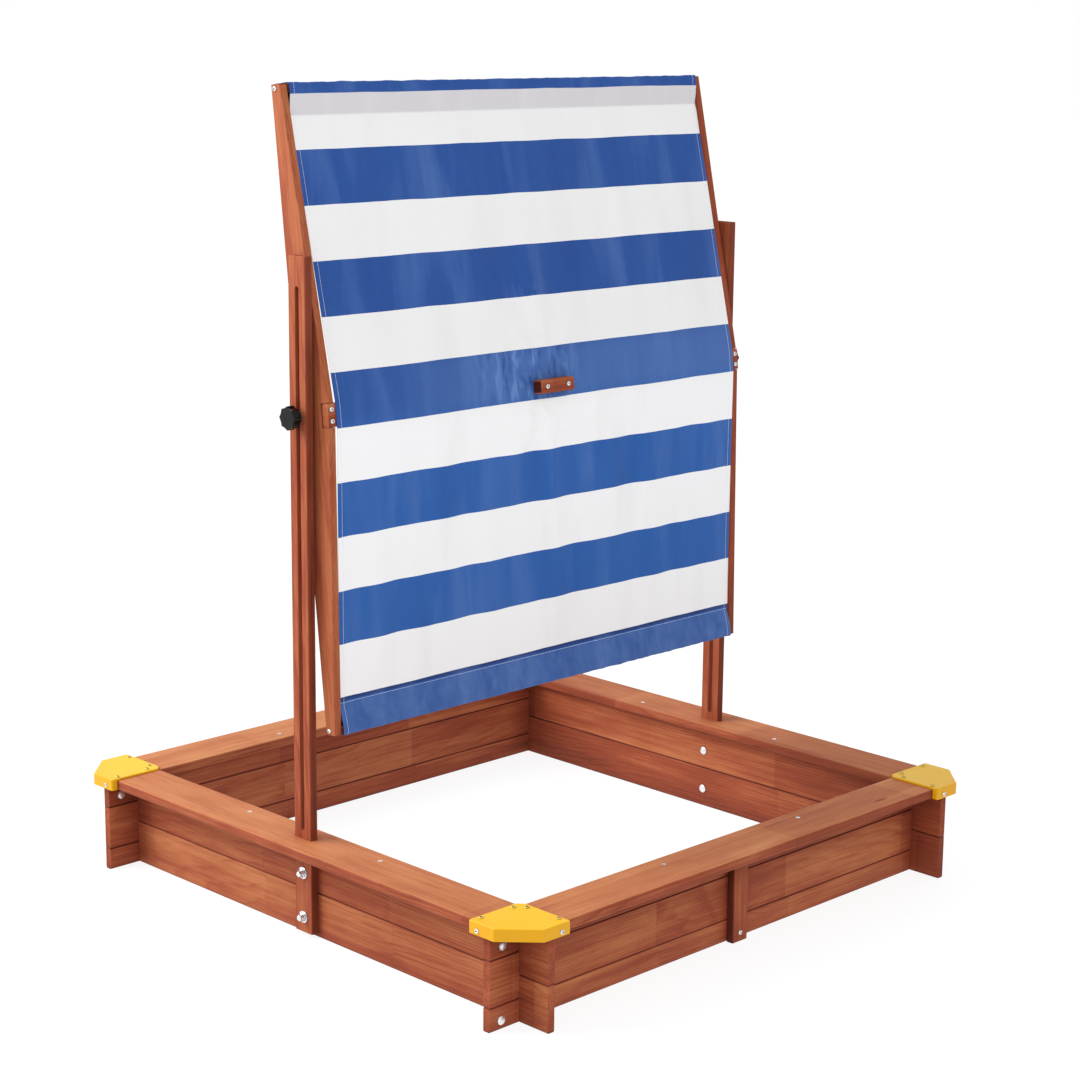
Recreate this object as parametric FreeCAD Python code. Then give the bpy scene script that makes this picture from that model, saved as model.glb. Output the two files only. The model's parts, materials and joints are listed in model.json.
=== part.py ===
import FreeCAD, Part
import math
import os

from FreeCAD import Placement, Rotation, Vector

# Wooden sandbox with a canopy that tilts between two slotted posts. Millimetres.
# Origin: centre of the box, on the ground. +Z is up. The posts stand on the front (-Y)
# and back (+Y) walls, and the canopy turns about a line along Y between them.
# The canopy is drawn upright in its own (u, y, v) coordinates and then tilted: u runs
# along the straight edge of the gables, from the lower to the upper end, and v runs
# outwards, to the side that carries the fabric.

# ---- driving dimensions ----
# Walls of cross-halved boards
BOARD_T = 15.0
BOARD_LENGTH = 1180.0
BOARD_H = 81.0
BOARD_EDGE_R = 2.5
WALL_OUTER = 525.0
NOTCH_PLAY = 0.25

# Seats round the top of the walls
SEAT_T = 18.0
SEAT_INNER = 488.0
SEAT_OUTER = 588.0
SEAT_EDGE_R = 4.5
SEAT_CORNER_CUT = 1136.0
MITRE_GAP = 0.4
MORTISE_PLAY = 0.5
SEAT_SCREW_SPREAD = 178.0

# Plastic corner caps
CAP_INNER = 485.0
CAP_OUTER = 600.0
CAP_CHAMFER = 57.0
CAP_TIP = 11.0
CAP_TOP_Z = 184.0
CAP_SKIRT_Z = 162.6
CAP_WALL_T = 3.5
CAP_PLAY = 0.1
CAP_CORNER_R = 4.0
CAP_RIM_R = 2.0
CAP_BOSS_R = 5.5
CAP_SIDE_SCREW_AT = 505.0
CAP_SIDE_SCREW_Z = 170.0
CAP_TOP_SCREWS = [(496.5, 512.0), (512.0, 496.5), (494.0, 581.0), (581.0, 494.0)]

# Slotted posts and the battens in the middle of the other two walls
POST_W = 45.0
POST_T = 15.0
POST_BOTTOM_Z = 8.0
POST_TOP_Z = 1190.0
POST_EDGE_R = 2.0
SLOT_W = 10.0
SLOT_BOTTOM_Z = 195.0
SLOT_TOP_Z = 1140.0
POST_BOLT_Z = [36.0, 117.0]
BATTEN_W = 39.0
BATTEN_SCREW_Z = [16.0, 150.0]

# Canopy frame
PIVOT_Z = 921.0
PIVOT_V = 23.0
TILT_DEG = 6.68
GABLE_LENGTH = 1100.0
GABLE_T = 15.0
GABLE_OUTER_Y = 519.0
GABLE_END_W = 23.0
GABLE_MIDDLE_W = 78.0
GABLE_EDGE_R = 1.8
RIDGE_BAR_W = 40.0
RIDGE_BAR_T = 15.0
RIDGE_BAR_TOP_V = 77.5
RIDGE_NOTCH_GAP = 3.5
RIDGE_NOTCH_PLAY = 0.8
END_BAR_T = 15.0
END_BAR_V = [-13.0, 27.0]
BAR_EDGE_R = 2.0
RIDGE_BLOCK_LENGTH = 84.0
RIDGE_BLOCK_W = 24.5
RIDGE_BLOCK_H = 20.0
RIDGE_BLOCK_END_R = 4.0

# Fabric, drawn as a sheet with a sleeve round each end bar
FABRIC_T = 1.5
FABRIC_HALF_W = 503.0
FABRIC_PLAY = 0.3
SLEEVE_U = 52.0
SLEEVE_V = 21.5

# Pivot bolts, spacers and clamping knobs
PIVOT_BOLT_R = 4.0
RUNNING_PLAY = 0.05
BODY_GAP = 0.3
PIVOT_HEAD_R = 9.0
PIVOT_BOLT_END_Y = 558.0
SPACER_R = 12.0
CLAMP_WASHER_R = 12.0
CLAMP_WASHER_T = 1.6
KNOB_R = 20.5
KNOB_FRONT_Y = 564.0
KNOB_GRIP_Y = 549.0
KNOB_HUB_R = 12.5
KNOB_LOBES = 8
KNOB_SCALLOP_R = 22.0
KNOB_SCALLOP_AT = 40.2
KNOB_RIM_R = 1.2
KNOB_FRONT_T = 3.5
INSERT_R = 6.5
INSERT_LENGTH = 14.0

# Wood screws
WOOD_SCREW_R = 1.9
WOOD_SCREW_TIP = 4.0
PILOT_PLAY = 0.05
SEAT_SCREW_LENGTH = 45.0
BATTEN_SCREW_LENGTH = 27.0
CAP_TOP_SCREW_LENGTH = 17.0
CAP_SIDE_SCREW_LENGTH = 28.0
END_SCREW_V = 9.0
END_SCREW_LENGTH = 42.0
RIDGE_SCREW_OFFSET = 10.0
RIDGE_SCREW_LENGTH = 38.0
BLOCK_SCREW_LENGTH = 34.0
BLOCK_SCREW_SPREAD = 26.5
PAN_HEAD_R = 4.2
PAN_HEAD_H = 2.4
PAN_RECESS_DEPTH = 1.6
FLAT_HEAD_R = 4.0
FLAT_HEAD_H = 2.6
FLAT_RECESS_DEPTH = 1.8

# Bolts through the posts and through the front ends of the side walls
WALL_BOLT_R = 3.9
WALL_BOLT_HOLE_R = 4.1
WALL_BOLT_HEAD_R = 8.2
WALL_BOLT_HEAD_H = 4.0
WASHER_R = 10.75
WASHER_T = 1.6
NUT_AF = 13.0
NUT_H = 6.5
CAP_NUT_SHOULDER_R = 5.7
CAP_NUT_SHOULDER_H = 1.4
CAP_NUT_DOME_H = 4.1
THREAD_BEYOND_NUT = 3.0
CORNER_BOLT_AT = 563.0
CORNER_BOLT_Z = 141.0
CORNER_BOLT_R = 2.9
CORNER_WASHER_R = 8.0
CORNER_WASHER_T = 1.2
CORNER_HEAD_R = 6.6
CORNER_HEAD_H = 2.6
CORNER_NUT_AF = 10.0
CORNER_NUT_H = 5.0

# Bolt with a wide dome head at the foot of the front right corner
FOOT_BOLT_AT = 565.0
FOOT_BOLT_Z = 15.5
FOOT_HEAD_R = 7.9
FOOT_HEAD_H = 3.2

# ---- derived dimensions ----
HALF_H = BOARD_H / 2
QUARTER_H = BOARD_H / 4
WALL_H = 2 * BOARD_H
WALL_INNER = WALL_OUTER - BOARD_T
WALL_MIDDLE = WALL_OUTER - BOARD_T / 2
SEAT_TOP_Z = WALL_H + SEAT_T
POST_OUTER = WALL_OUTER + POST_T
GABLE_INNER_Y = GABLE_OUTER_Y - GABLE_T
PIVOT_U = GABLE_LENGTH / 2
RIDGE_BAR_BOTTOM_V = RIDGE_BAR_TOP_V - RIDGE_BAR_T
RIDGE_SCREW_Y = GABLE_OUTER_Y - GABLE_T / 2
FABRIC_RIDGE_V = RIDGE_BAR_TOP_V + FABRIC_PLAY + FABRIC_T

X = Vector(1, 0, 0)
Y = Vector(0, 1, 0)
Z = Vector(0, 0, 1)
OUTSIDE = 1.0

# Turns about Z that carry a part drawn on the back (+Y) wall to each wall
WALL_TURN = {"back": 0, "left": 90, "front": 180, "right": -90}


# ---- helpers ----
def box(x0, x1, y0, y1, z0, z1):
    return Part.makeBox(x1 - x0, y1 - y0, z1 - z0, Vector(x0, y0, z0))


def prism(points, normal_length):
    """Solid swept from a closed polygon of Vectors along a Vector."""
    outline = Part.makePolygon(points + [points[0]])
    return Part.Face(outline).extrude(normal_length)


def flat_prism(xy_points, z0, z1):
    return prism([Vector(x, y, z0) for x, y in xy_points], Z * (z1 - z0))


def edges_along(shape, direction):
    """Straight edges of the shape that are parallel to a direction."""
    found = []
    for edge in shape.Edges:
        span = edge.Vertexes[-1].Point - edge.Vertexes[0].Point
        if abs(abs(span.dot(direction)) - edge.Length) < 1e-6:
            found.append(edge)
    return found


def rounded(shape, radius, direction):
    return shape.makeFillet(radius, edges_along(shape, direction))


def turned(shape, degrees):
    """Copy turned about the Z axis through the origin."""
    copy = shape.copy()
    copy.rotate(Vector(0, 0, 0), Z, degrees)
    return copy


def aimed(shape, position, direction):
    """Copy of a part drawn along +Z, placed at a position and aimed along a direction."""
    copy = shape.copy()
    copy.Placement = Placement(position, Rotation(Z, direction))
    return copy


def revolved(profile_rz):
    """Solid of revolution about Z from (radius, z) points."""
    points = [Vector(r, 0, z) for r, z in profile_rz]
    outline = Part.makePolygon(points + [points[0]])
    return Part.Face(outline).revolve(Vector(0, 0, 0), Z, 360)


def cross_recess(head_r, top_z, depth):
    """Cutter for the cross in a screw head, whose arms shorten towards the bottom."""
    arm = head_r * 0.55
    arm_below = arm * 0.3
    half_slot = head_r * 0.16
    profile = [(-arm, top_z + PILOT_PLAY), (arm, top_z + PILOT_PLAY)]
    profile += [(arm_below, top_z - depth), (-arm_below, top_z - depth)]
    along_x = prism([Vector(x, -half_slot, z) for x, z in profile], Y * (2 * half_slot))
    along_y = prism([Vector(-half_slot, y, z) for y, z in profile], X * (2 * half_slot))
    return along_x.fuse(along_y)


def screw_tip(length):
    return [(WOOD_SCREW_R, -length + WOOD_SCREW_TIP), (0, -length)]


def pan_screw(length):
    """Pan head screw along Z: the head stands on z = 0 and the shank runs down."""
    head_curve = [(PAN_HEAD_R, 0.9), (PAN_HEAD_R * 0.86, 1.8), (PAN_HEAD_R * 0.55, PAN_HEAD_H)]
    profile = [(0, PAN_HEAD_H)] + head_curve[::-1]
    profile += [(PAN_HEAD_R, 0), (WOOD_SCREW_R, 0)] + screw_tip(length)
    return revolved(profile).cut(cross_recess(PAN_HEAD_R, PAN_HEAD_H, PAN_RECESS_DEPTH))


def flat_screw(length):
    """Countersunk screw along Z, with the top of its head at z = 0."""
    profile = [(0, 0), (FLAT_HEAD_R, 0), (FLAT_HEAD_R, -0.4), (WOOD_SCREW_R, -FLAT_HEAD_H)]
    return revolved(profile + screw_tip(length)).cut(cross_recess(FLAT_HEAD_R, 0, FLAT_RECESS_DEPTH))


def flat_screw_seat(length):
    """Cutter for a countersunk screw."""
    r = FLAT_HEAD_R + PILOT_PLAY
    hole_r = WOOD_SCREW_R + PILOT_PLAY
    profile = [(0, OUTSIDE), (r, OUTSIDE), (r, -0.45), (hole_r, -FLAT_HEAD_H - PILOT_PLAY)]
    return revolved(profile + [(hole_r, -length), (0, -length)])


def pilot_hole(depth):
    return Part.makeCylinder(WOOD_SCREW_R + PILOT_PLAY, depth + OUTSIDE, Vector(0, 0, -depth))


def domed_bolt(head_r, head_h, shank_r, length):
    """Round-head bolt along Z: the head stands on z = 0 and the shank runs down."""
    steps = 6
    dome = []
    for i in range(steps + 1):
        angle = math.pi / 2 * i / steps
        dome.append((head_r * math.sin(angle), head_h * (0.25 + 0.75 * math.cos(angle))))
    profile = dome + [(head_r, 0), (shank_r, 0), (shank_r, -length + 0.8), (shank_r - 0.8, -length)]
    return revolved(profile + [(0, -length)])


def washer(outer_r, inner_r, thickness):
    """Flat ring standing on z = 0."""
    ring = Part.makeCylinder(outer_r, thickness)
    return ring.cut(Part.makeCylinder(inner_r, thickness))


def hex_nut(across_flats, height, bore_r):
    """Hexagon nut standing on z = 0, with its outer corners turned down."""
    corner_r = across_flats / math.sqrt(3)
    corners = [
        (corner_r * math.cos(math.pi / 3 * i), corner_r * math.sin(math.pi / 3 * i)) for i in range(6)
    ]
    body = flat_prism(corners, 0, height)
    bevel = height * 0.2
    flat_r = across_flats / 2 * 0.97
    turned_down = revolved([
        (0, 0), (corner_r, 0), (corner_r, height - bevel), (flat_r, height), (0, height),
    ])
    return body.common(turned_down).cut(Part.makeCylinder(bore_r, height))


def cap_nut(across_flats, hex_h, bore_r):
    """Hexagon nut with a closed dome over the bolt's end, standing on z = 0."""
    steps = 6
    shoulder_z = hex_h + CAP_NUT_SHOULDER_H
    outline = [(0, hex_h / 2), (CAP_NUT_SHOULDER_R, hex_h / 2)]
    for i in range(steps + 1):
        angle = math.pi / 2 * i / steps
        radius = CAP_NUT_SHOULDER_R * math.cos(angle) if i < steps else 0
        outline.append((radius, shoulder_z + CAP_NUT_DOME_H * math.sin(angle)))
    bore = Part.makeCylinder(bore_r, hex_h + THREAD_BEYOND_NUT + PILOT_PLAY)
    return hex_nut(across_flats, hex_h, bore_r).fuse(revolved(outline)).cut(bore)


def write(name, *solids):
    """Writes a node: one solid, or a group of separate solids."""
    shape = solids[0] if len(solids) == 1 else Part.makeCompound(list(solids))
    if not shape.isValid():
        raise ValueError(name + " is not a valid shape")
    shape.exportStep(os.path.join("parts", name + ".step"))


# ---- box ----
def wall_board(low, high, core_low, core_high):
    """Board of the back wall, notched at both crossings outside its core heights."""
    half = BOARD_LENGTH / 2
    board = rounded(box(-half, half, WALL_INNER, WALL_OUTER, low, high), BOARD_EDGE_R, X)
    notch_half = BOARD_T / 2 + NOTCH_PLAY
    y0 = WALL_INNER - OUTSIDE
    y1 = WALL_OUTER + OUTSIDE
    for crossing in (-WALL_MIDDLE, WALL_MIDDLE):
        x0 = crossing - notch_half
        x1 = crossing + notch_half
        if core_low > low:
            board = board.cut(box(x0, x1, y0, y1, low - OUTSIDE, core_low))
        if core_high < high:
            board = board.cut(box(x0, x1, y0, y1, core_high, high + OUTSIDE))
    return board


def seat_screw_points():
    return [Vector(x, WALL_MIDDLE, SEAT_TOP_Z) for x in (-SEAT_SCREW_SPREAD, SEAT_SCREW_SPREAD)]


def post_wall_board(low, high, core_low, core_high):
    """Board of a wall that carries a post: holes for the post bolt and the seat screws."""
    board = wall_board(low, high, core_low, core_high)
    for z in POST_BOLT_Z:
        if low < z < high:
            start = Vector(0, WALL_INNER - OUTSIDE, z)
            board = board.cut(Part.makeCylinder(WALL_BOLT_HOLE_R, BOARD_T + 2 * OUTSIDE, start, Y))
    return drilled_for_seat(board)


def drilled_for_seat(board):
    for point in seat_screw_points():
        board = board.cut(aimed(flat_screw_seat(SEAT_SCREW_LENGTH), point, Z))
    return board


def batten_wall_board(low, high, core_low, core_high):
    """Board of a wall that carries a batten: holes for the batten and seat screws."""
    board = wall_board(low, high, core_low, core_high)
    for z in BATTEN_SCREW_Z:
        if low < z < high:
            board = board.cut(aimed(pilot_hole(BATTEN_SCREW_LENGTH), Vector(0, POST_OUTER, z), Y))
    return drilled_for_seat(board)


def seat(with_mortise):
    """Seat board on the back wall, mitred under the corner caps."""
    gap = MITRE_GAP / 2
    tip = SEAT_CORNER_CUT / 2
    flat_x = SEAT_CORNER_CUT - SEAT_OUTER
    right_side = [
        (SEAT_INNER - gap, SEAT_INNER), (tip - gap, tip), (flat_x, SEAT_OUTER),
    ]
    left_side = [(-x, y) for x, y in right_side[::-1]]
    board = flat_prism(right_side + left_side, WALL_H, SEAT_TOP_Z)
    board = rounded(board, SEAT_EDGE_R, X)
    if with_mortise:
        half = POST_W / 2 + MORTISE_PLAY
        y0 = WALL_OUTER - MORTISE_PLAY
        y1 = POST_OUTER + MORTISE_PLAY
        board = board.cut(box(-half, half, y0, y1, WALL_H - OUTSIDE, SEAT_TOP_Z + OUTSIDE))
    for point in seat_screw_points():
        board = board.cut(aimed(flat_screw_seat(SEAT_SCREW_LENGTH), point, Z))
    for x, y in CAP_TOP_SCREWS:
        if y > x:
            for sign in (-1, 1):
                head = Vector(sign * x, y, CAP_TOP_Z)
                board = board.cut(aimed(pilot_hole(CAP_TOP_SCREW_LENGTH), head, Z))
    for sign in (-1, 1):
        point = Vector(sign * CAP_SIDE_SCREW_AT, CAP_OUTER, CAP_SIDE_SCREW_Z)
        board = board.cut(aimed(pilot_hole(CAP_SIDE_SCREW_LENGTH), point, Y))
    return board


def chamfered_corner(inner, outer, chamfer_sum):
    """Square from inner to outer whose outer corner is cut along x + y = chamfer_sum."""
    return [
        (inner, inner), (outer, inner), (outer, chamfer_sum - outer),
        (chamfer_sum - outer, outer), (inner, outer),
    ]


def corner_cap():
    """Cap over the (+X, +Y) corner: a plate with a skirt on its outer sides."""
    outline = chamfered_corner(CAP_INNER, CAP_OUTER, 2 * CAP_OUTER - CAP_CHAMFER)
    outline[0:1] = [(CAP_INNER, CAP_INNER + CAP_TIP), (CAP_INNER + CAP_TIP, CAP_INNER)]
    cap = rounded(flat_prism(outline, CAP_SKIRT_Z, CAP_TOP_Z), CAP_CORNER_R, Z)
    rim = [edge for edge in cap.Edges if edge.BoundBox.ZMin > CAP_TOP_Z - 1e-3]
    cap = cap.makeFillet(CAP_RIM_R, rim)
    chamfer_inside = 2 * CAP_OUTER - CAP_CHAMFER - CAP_WALL_T * math.sqrt(2)
    seat_space = chamfered_corner(CAP_INNER - 2 * OUTSIDE, SEAT_OUTER + CAP_PLAY, chamfer_inside)
    skirt_space = chamfered_corner(CAP_INNER + CAP_WALL_T, CAP_OUTER - CAP_WALL_T, chamfer_inside)
    for space in (seat_space, skirt_space):
        cap = cap.cut(flat_prism(space, CAP_SKIRT_Z - OUTSIDE, SEAT_TOP_Z + CAP_PLAY))
    boss_length = CAP_OUTER - CAP_WALL_T - SEAT_OUTER - CAP_PLAY + OUTSIDE
    for at, direction in cap_side_points():
        start = at - direction * (CAP_WALL_T + boss_length - OUTSIDE)
        cap = cap.fuse(Part.makeCylinder(CAP_BOSS_R, boss_length, start, direction))
        cap = cap.cut(aimed(pilot_hole(CAP_SIDE_SCREW_LENGTH), at, direction))
    for x, y in CAP_TOP_SCREWS:
        cap = cap.cut(aimed(pilot_hole(CAP_TOP_SCREW_LENGTH), Vector(x, y, CAP_TOP_Z), Z))
    return cap


def cap_side_points():
    """Head positions and outward directions of the two skirt screws."""
    return [
        (Vector(CAP_SIDE_SCREW_AT, CAP_OUTER, CAP_SIDE_SCREW_Z), Y),
        (Vector(CAP_OUTER, CAP_SIDE_SCREW_AT, CAP_SIDE_SCREW_Z), X),
    ]


def slotted_post():
    """Post on the outside of the back wall."""
    post = box(-POST_W / 2, POST_W / 2, WALL_OUTER, POST_OUTER, POST_BOTTOM_Z, POST_TOP_Z)
    post = rounded(post, POST_EDGE_R, Z)
    rim = [edge for edge in post.Edges if edge.BoundBox.ZMin > POST_TOP_Z - 1e-3]
    post = post.makeFillet(POST_EDGE_R * 0.8, rim)
    slot_r = SLOT_W / 2
    y0 = WALL_OUTER - OUTSIDE
    through = POST_T + 2 * OUTSIDE
    low = SLOT_BOTTOM_Z + slot_r
    high = SLOT_TOP_Z - slot_r
    post = post.cut(box(-slot_r, slot_r, y0, y0 + through, low, high))
    for z in (low, high):
        post = post.cut(Part.makeCylinder(slot_r, through, Vector(0, y0, z), Y))
    for z in POST_BOLT_Z:
        post = post.cut(Part.makeCylinder(WALL_BOLT_HOLE_R, through, Vector(0, y0, z), Y))
    return post


def batten():
    """Batten in the middle of the outside of the back wall."""
    strip = box(-BATTEN_W / 2, BATTEN_W / 2, WALL_OUTER, POST_OUTER, 0, WALL_H)
    strip = rounded(strip, BOARD_EDGE_R, Z)
    for z in BATTEN_SCREW_Z:
        strip = strip.cut(aimed(pilot_hole(BATTEN_SCREW_LENGTH), Vector(0, POST_OUTER, z), Y))
    return strip


def box_nodes():
    """Walls, seats, caps, posts and battens."""
    for side in ("front", "back"):
        turn = WALL_TURN[side]
        lower = post_wall_board(0, BOARD_H, QUARTER_H, 3 * QUARTER_H)
        upper = post_wall_board(BOARD_H, WALL_H, 5 * QUARTER_H, 7 * QUARTER_H)
        write(side + "_board_lower", turned(lower, turn))
        write(side + "_board_upper", turned(upper, turn))
        write("seat_" + side, turned(seat(with_mortise=True), turn))
        write("post_" + side, turned(slotted_post(), turn))
    hole_r = CORNER_BOLT_R + PILOT_PLAY
    for side in ("left", "right"):
        turn = WALL_TURN[side]
        bottom = turned(batten_wall_board(0, HALF_H, 0, QUARTER_H), turn)
        middle = turned(batten_wall_board(HALF_H, 3 * HALF_H, 3 * QUARTER_H, 5 * QUARTER_H), turn)
        top = turned(batten_wall_board(3 * HALF_H, WALL_H, 7 * QUARTER_H, WALL_H), turn)
        if side == "right":
            bottom = bottom.cut(through_x(WALL_INNER, -FOOT_BOLT_AT, FOOT_BOLT_Z, hole_r))
        wall_x = WALL_INNER if side == "right" else -WALL_OUTER
        top = top.cut(through_x(wall_x, -CORNER_BOLT_AT, CORNER_BOLT_Z, hole_r))
        write(side + "_board_bottom", bottom)
        write(side + "_board_middle", middle)
        write(side + "_board_top", top)
        write("seat_" + side, turned(seat(with_mortise=False), turn))
        write("side_batten_" + side, turned(batten(), turn))
    corners = {"back_right": 0, "back_left": 90, "front_left": 180, "front_right": -90}
    for corner, turn in corners.items():
        write("corner_cap_" + corner, turned(corner_cap(), turn))


def through_x(wall_x, y, z, radius):
    """Cutter through a board that starts at wall_x."""
    return Part.makeCylinder(radius, BOARD_T + 2 * OUTSIDE, Vector(wall_x - OUTSIDE, y, z), X)


def box_fasteners():
    """Groups of identical fasteners of the box."""
    all_turns = list(WALL_TURN.values())
    seat_screws = [
        turned(aimed(flat_screw(SEAT_SCREW_LENGTH), point, Z), turn)
        for turn in all_turns
        for point in seat_screw_points()
    ]
    cap_top_screws = [
        turned(aimed(pan_screw(CAP_TOP_SCREW_LENGTH), Vector(x, y, CAP_TOP_Z), Z), turn)
        for turn in all_turns
        for x, y in CAP_TOP_SCREWS
    ]
    cap_side_screws = [
        turned(aimed(pan_screw(CAP_SIDE_SCREW_LENGTH), at, direction), turn)
        for turn in all_turns
        for at, direction in cap_side_points()
    ]
    batten_screws = [
        turned(aimed(pan_screw(BATTEN_SCREW_LENGTH), Vector(0, POST_OUTER, z), Y), WALL_TURN[side])
        for side in ("left", "right")
        for z in BATTEN_SCREW_Z
    ]
    write("seat_screws", *seat_screws)
    write("cap_top_screws", *cap_top_screws)
    write("cap_side_screws", *cap_side_screws)
    write("batten_screws", *batten_screws)
    post_fasteners()
    corner_fasteners()


def post_fasteners():
    """Bolts with heads inside the walls, and washers and nuts outside the posts."""
    bolt_length = BOARD_T + POST_T + WASHER_T + NUT_H + THREAD_BEYOND_NUT
    bolt = domed_bolt(WALL_BOLT_HEAD_R, WALL_BOLT_HEAD_H, WALL_BOLT_R, bolt_length)
    ring = washer(WASHER_R, WALL_BOLT_R + PILOT_PLAY, WASHER_T)
    nut = cap_nut(NUT_AF, NUT_H, WALL_BOLT_R + PILOT_PLAY)
    places = [(WALL_TURN[side], z) for side in ("front", "back") for z in POST_BOLT_Z]
    bolts = [turned(aimed(bolt, Vector(0, WALL_INNER, z), -Y), turn) for turn, z in places]
    rings = [turned(aimed(ring, Vector(0, POST_OUTER, z), Y), turn) for turn, z in places]
    nuts = [turned(aimed(nut, Vector(0, POST_OUTER + WASHER_T, z), Y), turn) for turn, z in places]
    write("post_bolts", *bolts)
    write("post_washers", *rings)
    write("post_nuts", *nuts)


def corner_fasteners():
    """Bolts through the front ends of the side walls and one at the near foot, heads towards +X."""
    length = BOARD_T + CORNER_WASHER_T + CORNER_NUT_H + THREAD_BEYOND_NUT
    bolt = domed_bolt(CORNER_HEAD_R, CORNER_HEAD_H, CORNER_BOLT_R, length)
    ring = washer(CORNER_WASHER_R, CORNER_BOLT_R + PILOT_PLAY, CORNER_WASHER_T)
    nut = hex_nut(CORNER_NUT_AF, CORNER_NUT_H, CORNER_BOLT_R + PILOT_PLAY)
    bolts = []
    rings = []
    nuts = []
    for face_x in (WALL_OUTER, -WALL_INNER):
        face = Vector(face_x, -CORNER_BOLT_AT, CORNER_BOLT_Z)
        rings.append(aimed(ring, face, X))
        bolts.append(aimed(bolt, face + X * CORNER_WASHER_T, X))
        nuts.append(aimed(nut, face - X * BOARD_T, -X))
    foot = Vector(WALL_OUTER, -FOOT_BOLT_AT, FOOT_BOLT_Z)
    foot_bolt = domed_bolt(FOOT_HEAD_R, FOOT_HEAD_H, CORNER_BOLT_R, length - CORNER_WASHER_T)
    bolts.append(aimed(foot_bolt, foot, X))
    nuts.append(aimed(nut, foot - X * BOARD_T, -X))
    write("corner_bolts", *bolts)
    write("corner_washers", *rings)
    write("corner_nuts", *nuts)


# ---- canopy, drawn upright and then tilted about the pivot ----
def canopy_point(u, y, v):
    return Vector(v - PIVOT_V, y, PIVOT_Z + u - PIVOT_U)


def canopy_prism(uv_points, y0, y1):
    return prism([canopy_point(u, y0, v) for u, v in uv_points], Y * (y1 - y0))


def canopy_box(u0, u1, y0, y1, v0, v1):
    return canopy_prism([(u0, v0), (u1, v0), (u1, v1), (u0, v1)], y0, y1)


def tilted(shape):
    copy = shape.copy()
    copy.rotate(Vector(0, 0, PIVOT_Z), Y, -TILT_DEG)
    return copy


def mirrored(shape):
    """Copy for the front side of the canopy."""
    return shape.mirror(Vector(0, 0, 0), Y)


def ridge_screw_points():
    offsets = (-RIDGE_SCREW_OFFSET, RIDGE_SCREW_OFFSET)
    return [canopy_point(PIVOT_U + du, RIDGE_SCREW_Y, RIDGE_BAR_TOP_V) for du in offsets]


def end_screw_points():
    us = (END_BAR_T / 2, GABLE_LENGTH - END_BAR_T / 2)
    return [canopy_point(u, GABLE_OUTER_Y, END_SCREW_V) for u in us]


def gable():
    """Tapered rail at the back end of the canopy."""
    outline = [
        (0, 0), (GABLE_LENGTH, 0), (GABLE_LENGTH, GABLE_END_W),
        (PIVOT_U, GABLE_MIDDLE_W), (0, GABLE_END_W),
    ]
    rail = canopy_prism(outline, GABLE_INNER_Y, GABLE_OUTER_Y)
    long_edges = [edge for edge in rail.Edges if edge.Length > 3 * GABLE_MIDDLE_W]
    rail = rail.makeFillet(GABLE_EDGE_R, long_edges)
    half = RIDGE_BAR_W / 2 + RIDGE_NOTCH_PLAY
    notch = canopy_box(
        PIVOT_U - half, PIVOT_U + half, GABLE_INNER_Y - OUTSIDE, GABLE_OUTER_Y + OUTSIDE,
        RIDGE_BAR_BOTTOM_V - RIDGE_NOTCH_GAP, GABLE_MIDDLE_W + OUTSIDE,
    )
    rail = rail.cut(notch)
    start = canopy_point(PIVOT_U, GABLE_INNER_Y - OUTSIDE, PIVOT_V)
    bore = Part.makeCylinder(PIVOT_BOLT_R + RUNNING_PLAY, GABLE_T + 2 * OUTSIDE, start, Y)
    rail = rail.cut(bore)
    for point in ridge_screw_points():
        rail = rail.cut(aimed(pilot_hole(RIDGE_SCREW_LENGTH), point, X))
    for point in end_screw_points():
        rail = rail.cut(aimed(pilot_hole(END_SCREW_LENGTH), point, Y))
    return rail


def ridge_bar():
    """Bar along the ridge, let into both gables."""
    bar = canopy_box(
        PIVOT_U - RIDGE_BAR_W / 2, PIVOT_U + RIDGE_BAR_W / 2, -GABLE_OUTER_Y, GABLE_OUTER_Y,
        RIDGE_BAR_BOTTOM_V, RIDGE_BAR_TOP_V,
    )
    bar = rounded(bar, BAR_EDGE_R, Y)
    for point in ridge_screw_points():
        hole = aimed(pilot_hole(RIDGE_SCREW_LENGTH), point, X)
        bar = bar.cut(hole).cut(mirrored(hole))
    for point in block_screw_points():
        bar = bar.cut(aimed(pilot_hole(BLOCK_SCREW_LENGTH), point, X))
    return bar


def end_bar(u0):
    """Bar between the ends of the gables, inside a sleeve of the fabric."""
    bar = canopy_box(u0, u0 + END_BAR_T, -GABLE_INNER_Y, GABLE_INNER_Y, *END_BAR_V)
    bar = rounded(bar, BAR_EDGE_R, Y)
    for point in end_screw_points():
        hole = aimed(pilot_hole(END_SCREW_LENGTH), point, Y)
        bar = bar.cut(hole).cut(mirrored(hole))
    return bar


def ridge_block_top_v():
    return FABRIC_RIDGE_V + FABRIC_PLAY + RIDGE_BLOCK_H


def block_screw_points():
    top = ridge_block_top_v()
    return [canopy_point(PIVOT_U, y, top) for y in (-BLOCK_SCREW_SPREAD, BLOCK_SCREW_SPREAD)]


def ridge_block():
    """Small block that clamps the fabric to the middle of the ridge bar."""
    half_l = RIDGE_BLOCK_LENGTH / 2
    half_w = RIDGE_BLOCK_W / 2
    top = ridge_block_top_v()
    block = canopy_box(PIVOT_U - half_w, PIVOT_U + half_w, -half_l, half_l, top - RIDGE_BLOCK_H, top)
    block = rounded(block, RIDGE_BLOCK_END_R, X)
    top_x = canopy_point(PIVOT_U, 0, top).x
    rim = [edge for edge in block.Edges if edge.BoundBox.XMin > top_x - 1e-3]
    block = block.makeFillet(BAR_EDGE_R, rim)
    for point in block_screw_points():
        block = block.cut(aimed(pilot_hole(BLOCK_SCREW_LENGTH), point, X))
    return block


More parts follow.
